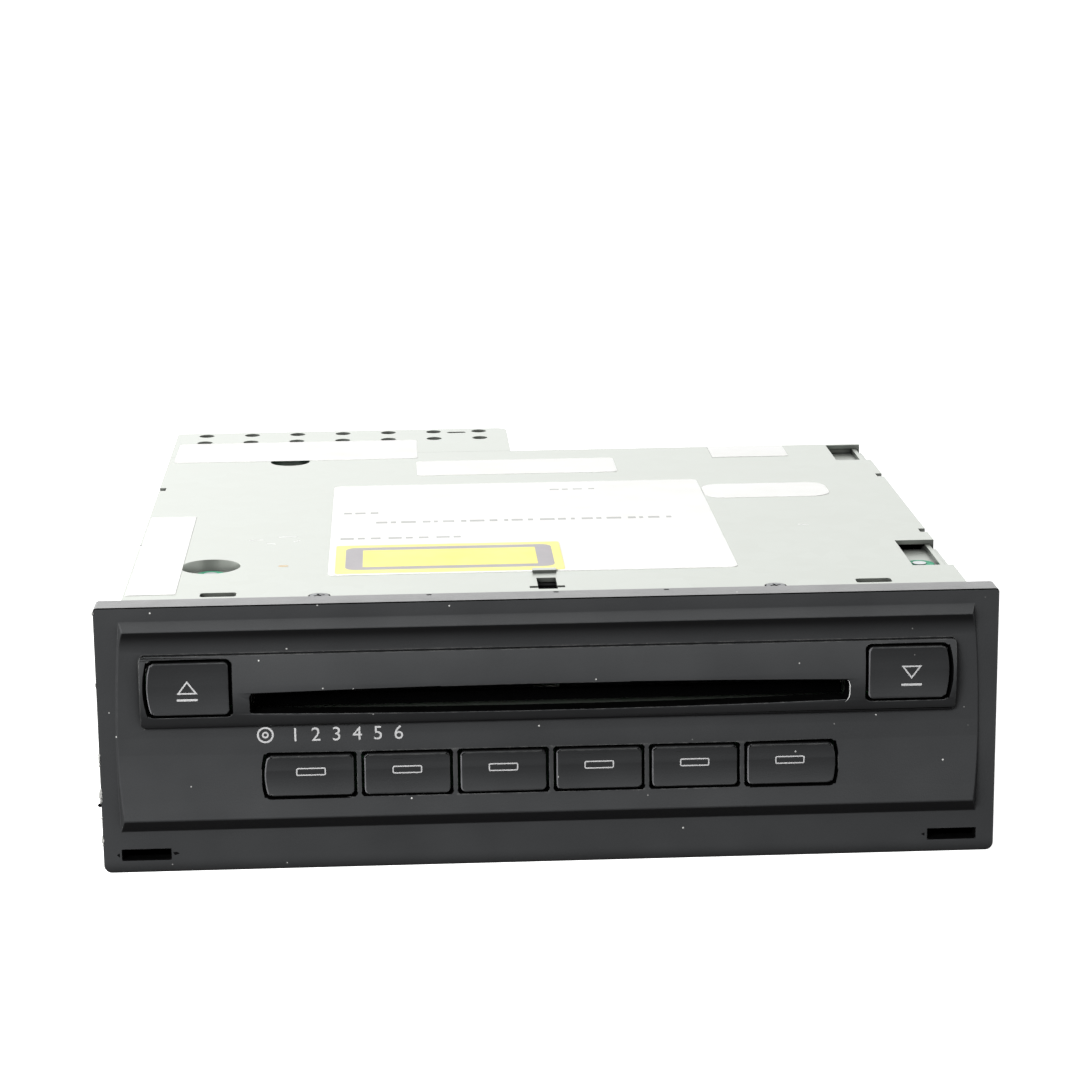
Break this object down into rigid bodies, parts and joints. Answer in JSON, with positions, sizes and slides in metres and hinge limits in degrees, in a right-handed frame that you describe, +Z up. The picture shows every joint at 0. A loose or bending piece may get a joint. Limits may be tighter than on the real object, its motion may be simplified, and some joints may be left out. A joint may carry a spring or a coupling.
{
  "type": "car disc changer",
  "caption": "Slot-loading car disc changer: black moulded face with a disc slot, eject and load keys and a row of disc keys, on a galvanised sheet chassis with a vented rear extension.",
  "frame": {"origin": "centre of the overall box at its bottom; the face moulding's bottom edge is at z = 0", "axes": "+X across the face to the viewer's right, +Y from the face to the rear, +Z up"},
  "size_m": [0.188, 0.1892, 0.0574],
  "materials": {
    "black_plastic": "fine moulded texture, satin",
    "chip_plastic": "plain",
    "felt": "needled felt",
    "flat_cable": "satin",
    "galvanised_sheet": "galvanised, satin",
    "gold_contact": "bright",
    "green_board": "solder mask",
    "green_rubber": "matte",
    "key_plastic": "fine moulded texture, satin",
    "lens_glass": "clear",
    "motor_steel": "nickel plated",
    "roller_rubber": "matte",
    "screw_steel": "zinc plated",
    "shaft_steel": "ground",
    "spring_steel": "plain",
    "switch_plastic": "plain",
    "tray_plastic": "satin",
    "white_plastic": "acetal, satin"
  },
  "bodies": {
    "chassis": {"front_bezel": "black_plastic", "front_circuit_board": "green_board", "key_switches": "switch_plastic", "slot_felts": "felt", "chassis_base": "galvanised_sheet", "chassis_sides": "galvanised_sheet", "top_cover": "galvanised_sheet", "rear_panel": "galvanised_sheet", "rear_housing": "galvanised_sheet", "rear_vent_cover": "galvanised_sheet", "bezel_screws": "screw_steel", "cover_screws": "screw_steel", "rubber_dampers": "green_rubber", "main_circuit_board": "green_board", "board_components": "chip_plastic", "ribbon_cable": "flat_cable", "rear_socket": "chip_plastic", "socket_pins": "gold_contact", "mechanism_frame": "spring_steel", "mechanism_bridge": "spring_steel", "roller_bracket": "white_plastic", "upper_disc_guide": "white_plastic", "feed_motor": "motor_steel", "lift_belt": "roller_rubber", "lift_motor": "motor_steel"},
    "eject_button": {"eject_button": "key_plastic"},
    "load_button": {"load_button": "key_plastic"},
    "disc_button_1": {"disc_button_1": "key_plastic"},
    "disc_button_2": {"disc_button_2": "key_plastic"},
    "disc_button_3": {"disc_button_3": "key_plastic"},
    "disc_button_4": {"disc_button_4": "key_plastic"},
    "disc_button_5": {"disc_button_5": "key_plastic"},
    "disc_button_6": {"disc_button_6": "key_plastic"},
    "release_spring_left": {"release_spring_left": "spring_steel"},
    "release_spring_right": {"release_spring_right": "spring_steel"},
    "feed_roller": {"feed_roller_shaft": "white_plastic", "feed_roller_rubber": "roller_rubber"},
    "feed_idler": {"feed_idler_gear": "white_plastic"},
    "feed_pinion": {"feed_motor_pinion": "gold_contact"},
    "lift_screw_left": {"lift_screw_left": "white_plastic"},
    "lift_screw_right": {"lift_screw_right": "white_plastic"},
    "lift_screw_rear": {"lift_screw_rear": "white_plastic"},
    "lift_pinion": {"lift_motor_pinion": "gold_contact"},
    "tray_stack": {"disc_tray_1": "tray_plastic", "disc_tray_2": "tray_plastic", "disc_tray_3": "tray_plastic", "disc_tray_4": "tray_plastic", "disc_tray_5": "tray_plastic", "disc_tray_6": "tray_plastic"},
    "playback_deck": {"swing_deck": "spring_steel", "spindle_motor": "motor_steel", "pickup_rods": "shaft_steel", "sled_motor": "motor_steel"},
    "turntable": {"turntable": "tray_plastic"},
    "sled_screw": {"sled_screw": "shaft_steel"},
    "pickup": {"optical_pickup": "tray_plastic", "pickup_lens": "lens_glass"},
    "clamp_arm": {"clamp_arm": "spring_steel"},
    "clamper": {"disc_clamper": "white_plastic"}
  },
  "joints": [
    {"name": "eject_button_press", "type": "slide", "parent": "chassis", "child": "eject_button", "axis": [0, 1, 0], "range_m": [0, 0.0008], "stiffness_N_per_m": 1200},
    {"name": "load_button_press", "type": "slide", "parent": "chassis", "child": "load_button", "axis": [0, 1, 0], "range_m": [0, 0.0008], "stiffness_N_per_m": 1200},
    {"name": "disc_button_1_press", "type": "slide", "parent": "chassis", "child": "disc_button_1", "axis": [0, 1, 0], "range_m": [0, 0.0008], "stiffness_N_per_m": 1200},
    {"name": "disc_button_2_press", "type": "slide", "parent": "chassis", "child": "disc_button_2", "axis": [0, 1, 0], "range_m": [0, 0.0008], "stiffness_N_per_m": 1200},
    {"name": "disc_button_3_press", "type": "slide", "parent": "chassis", "child": "disc_button_3", "axis": [0, 1, 0], "range_m": [0, 0.0008], "stiffness_N_per_m": 1200},
    {"name": "disc_button_4_press", "type": "slide", "parent": "chassis", "child": "disc_button_4", "axis": [0, 1, 0], "range_m": [0, 0.0008], "stiffness_N_per_m": 1200},
    {"name": "disc_button_5_press", "type": "slide", "parent": "chassis", "child": "disc_button_5", "axis": [0, 1, 0], "range_m": [0, 0.0008], "stiffness_N_per_m": 1200},
    {"name": "disc_button_6_press", "type": "slide", "parent": "chassis", "child": "disc_button_6", "axis": [0, 1, 0], "range_m": [0, 0.0008], "stiffness_N_per_m": 1200},
    {"name": "release_spring_left_flex", "type": "hinge", "parent": "chassis", "child": "release_spring_left", "pos_m": [-0.0893, -0.0324, 0.013], "axis": [0, 0, 1], "range_deg": [0, 0.9], "stiffness_Nm_per_rad": 2.5},
    {"name": "release_spring_right_flex", "type": "hinge", "parent": "chassis", "child": "release_spring_right", "pos_m": [0.0893, -0.0324, 0.013], "axis": [0, 0, -1], "range_deg": [0, 0.9], "stiffness_Nm_per_rad": 2.5},
    {"name": "feed_roller_spin", "type": "hinge", "parent": "chassis", "child": "feed_roller", "pos_m": [0, -0.0754, 0.0326], "axis": [1, 0, 0], "continuous": true},
    {"name": "feed_idler_spin", "type": "hinge", "parent": "chassis", "child": "feed_idler", "pos_m": [-0.0674, -0.0754, 0.02335], "axis": [1, 0, 0], "continuous": true},
    {"name": "feed_pinion_spin", "type": "hinge", "parent": "chassis", "child": "feed_pinion", "pos_m": [-0.0674, -0.0754, 0.0171], "axis": [1, 0, 0], "continuous": true},
    {"name": "tray_lift", "type": "slide", "parent": "chassis", "child": "tray_stack", "axis": [0, 0, -1], "range_m": [0, 0.012]},
    {"name": "lift_screw_left_turn", "type": "hinge", "parent": "chassis", "child": "lift_screw_left", "pos_m": [-0.066, -0.0634, 0.03], "axis": [0, 0, 1], "range_deg": [0, 1441]},
    {"name": "lift_screw_right_turn", "type": "hinge", "parent": "chassis", "child": "lift_screw_right", "pos_m": [0.066, -0.0634, 0.03], "axis": [0, 0, 1], "range_deg": [0, 1441]},
    {"name": "lift_screw_rear_turn", "type": "hinge", "parent": "chassis", "child": "lift_screw_rear", "pos_m": [0, 0.0576, 0.03], "axis": [0, 0, 1], "range_deg": [0, 1441]},
    {"name": "lift_pinion_turn", "type": "hinge", "parent": "chassis", "child": "lift_pinion", "pos_m": [0.078, -0.0634, 0.015], "axis": [0, 0, 1], "range_deg": [-4323, 0]},
    {"name": "deck_swing", "type": "hinge", "parent": "chassis", "child": "playback_deck", "pos_m": [-0.072, 0.0486, 0.0138], "axis": [0, 0, 1], "range_deg": [0, 51.6]},
    {"name": "turntable_spin", "type": "hinge", "parent": "playback_deck", "child": "turntable", "pos_m": [-0.072, -0.04323, 0.018], "axis": [0, 0, 1], "continuous": true},
    {"name": "pickup_sled", "type": "slide", "parent": "playback_deck", "child": "pickup", "axis": [0, 1, 0], "range_m": [0, 0.033]},
    {"name": "sled_screw_turn", "type": "hinge", "parent": "playback_deck", "child": "sled_screw", "pos_m": [-0.081, 0.0086, 0.0169], "axis": [0, 1, 0], "range_deg": [0, 7922]},
    {"name": "clamp_lift", "type": "hinge", "parent": "playback_deck", "child": "clamp_arm", "pos_m": [-0.072, 0.0366, 0.0197], "axis": [1, 0, 0], "range_deg": [-0.8, 0]},
    {"name": "clamper_spin", "type": "hinge", "parent": "clamp_arm", "child": "clamper", "pos_m": [-0.072, -0.04323, 0.0194], "axis": [0, 0, 1], "continuous": true}
  ],
  "couplings": [
    {"joint": "feed_idler_spin", "follows": "feed_roller_spin", "ratio": -1.8462},
    {"joint": "feed_pinion_spin", "follows": "feed_roller_spin", "ratio": 2},
    {"joint": "lift_screw_left_turn", "follows": "tray_lift", "rad_per_m": 2094.4},
    {"joint": "lift_screw_right_turn", "follows": "tray_lift", "rad_per_m": 2094.4},
    {"joint": "lift_screw_rear_turn", "follows": "tray_lift", "rad_per_m": 2094.4},
    {"joint": "lift_pinion_turn", "follows": "tray_lift", "rad_per_m": -6283.2},
    {"joint": "sled_screw_turn", "follows": "pickup_sled", "rad_per_m": 4188.8},
    {"joint": "clamper_spin", "follows": "turntable_spin", "ratio": 1}
  ]
}
